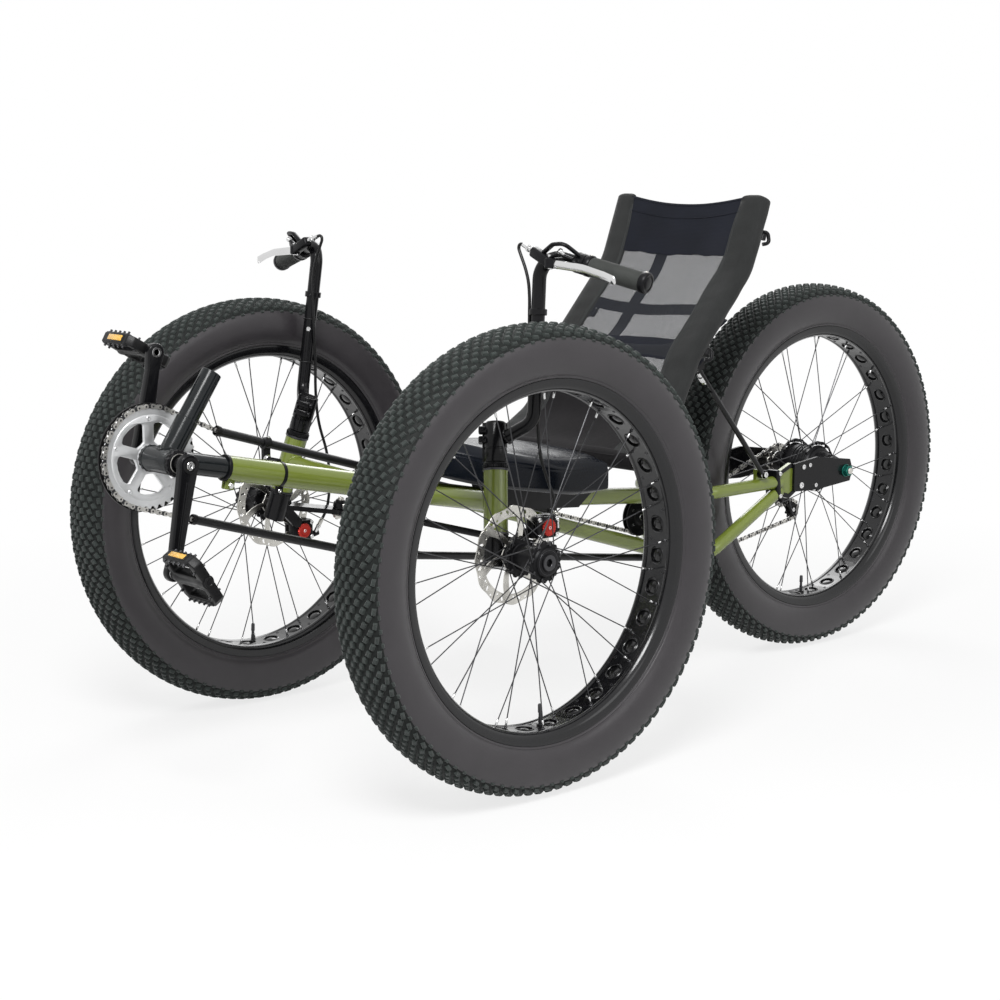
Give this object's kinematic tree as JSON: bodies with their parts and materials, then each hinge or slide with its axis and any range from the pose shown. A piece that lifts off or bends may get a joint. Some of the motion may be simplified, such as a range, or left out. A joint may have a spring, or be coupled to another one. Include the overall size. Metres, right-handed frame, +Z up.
{
  "type": "recumbent trike",
  "caption": "Pedal-driven recumbent tricycle with fat knobbly tyres, two steered front wheels, one driven rear wheel, a mesh seat and disc brakes.",
  "frame": {"origin": "bottom centre of the whole trike: on the floor, in its mirror plane, midway between its frontmost and rearmost points", "axes": "+X to the trike's left, -Y forward, +Z up"},
  "size_m": [0.99, 1.9866, 0.9229],
  "materials": {
    "frame_paint": "gloss",
    "black_parts": "gloss",
    "tyre": "matte",
    "rim": "gloss",
    "spokes": "satin",
    "hub": "satin",
    "steel": "satin",
    "alloy": "satin",
    "grip": "matte",
    "mesh_fabric": "woven",
    "cushion": "gloss",
    "black_plastic": "satin"
  },
  "bodies": {
    "frame": {"accessory_post": "black_parts", "boom_slider": "black_parts", "chain": "steel", "chain_tensioner": "black_plastic", "chain_tube_clip": "black_plastic", "front_boom": "frame_paint", "idler": "black_plastic", "left_cross_member": "frame_paint", "left_dropout": "black_parts", "left_stays": "frame_paint", "lower_chain_tube": "black_plastic", "lower_spine": "frame_paint", "rear_axle": "steel", "rear_spine": "frame_paint", "right_cross_member": "frame_paint", "right_dropout": "black_parts", "right_stays": "frame_paint", "seat_box": "black_plastic", "seat_cushion": "cushion", "seat_frame": "black_parts", "seat_sling": "mesh_fabric", "seat_struts": "black_parts", "upper_chain_tube": "black_plastic"},
    "front_left_wheel": {"front_left_hub": "hub", "front_left_rim": "rim", "front_left_rotor": "steel", "front_left_spokes": "spokes", "front_left_tyre": "tyre"},
    "front_right_wheel": {"front_right_hub": "hub", "front_right_rim": "rim", "front_right_rotor": "steel", "front_right_spokes": "spokes", "front_right_tyre": "tyre"},
    "rear_wheel": {"rear_hub": "hub", "rear_rim": "rim", "rear_spokes": "spokes", "rear_sprocket": "hub", "rear_tyre": "tyre"},
    "left_steering": {"left_brake_lever": "black_parts", "left_cable": "black_plastic", "left_caliper": "black_parts", "left_grip": "grip", "left_handlebar": "black_parts", "left_knuckle": "black_parts"},
    "right_steering": {"right_brake_lever": "black_parts", "right_cable": "black_plastic", "right_caliper": "black_parts", "right_grip": "grip", "right_handlebar": "black_parts", "right_knuckle": "black_parts"},
    "steering_rod": {"tie_rod": "black_parts"},
    "crankset": {"left_crank_arm": "black_parts", "right_crank_arm": "black_parts", "chainring": "alloy"},
    "left_pedal_body": {"left_pedal": "black_plastic"},
    "right_pedal_body": {"right_pedal": "black_plastic"}
  },
  "joints": [
    {"name": "steer", "type": "hinge", "parent": "frame", "child": "left_steering", "pos_m": [0.302, -0.48775, 0.372], "axis": [-0.2223, 0.1927, 0.9557], "range_deg": [-25, 25]},
    {"name": "steer_right", "type": "hinge", "parent": "frame", "child": "right_steering", "pos_m": [-0.302, -0.48775, 0.372], "axis": [0.2223, 0.1927, 0.9557], "range_deg": [-25, 25]},
    {"name": "tie_rod_turn", "type": "hinge", "parent": "left_steering", "child": "steering_rod", "pos_m": [0.27, -0.37075, 0.365], "axis": [-0.221, 0.1076, 0.9693], "range_deg": [-30, 30]},
    {"name": "front_left_spin", "type": "hinge", "parent": "left_steering", "child": "front_left_wheel", "pos_m": [0.386, -0.47575, 0.372], "axis": [1, 0, 0], "continuous": true},
    {"name": "front_right_spin", "type": "hinge", "parent": "right_steering", "child": "front_right_wheel", "pos_m": [-0.386, -0.47575, 0.372], "axis": [1, 0, 0], "continuous": true},
    {"name": "rear_spin", "type": "hinge", "parent": "frame", "child": "rear_wheel", "pos_m": [0, 0.62125, 0.372], "axis": [1, 0, 0], "continuous": true},
    {"name": "crank_spin", "type": "hinge", "parent": "frame", "child": "crankset", "pos_m": [0, -0.90775, 0.529], "axis": [1, 0, 0], "continuous": true},
    {"name": "left_pedal_spin", "type": "hinge", "parent": "crankset", "child": "left_pedal_body", "pos_m": [0.1, -0.93923, 0.36703], "axis": [1, 0, 0], "continuous": true},
    {"name": "right_pedal_spin", "type": "hinge", "parent": "crankset", "child": "right_pedal_body", "pos_m": [-0.1, -0.87627, 0.69097], "axis": [1, 0, 0], "continuous": true}
  ],
  "couplings": [
    {"joint": "steer_right", "follows": "steer", "ratio": 1},
    {"joint": "tie_rod_turn", "follows": "steer", "ratio": -1.1039}
  ]
}
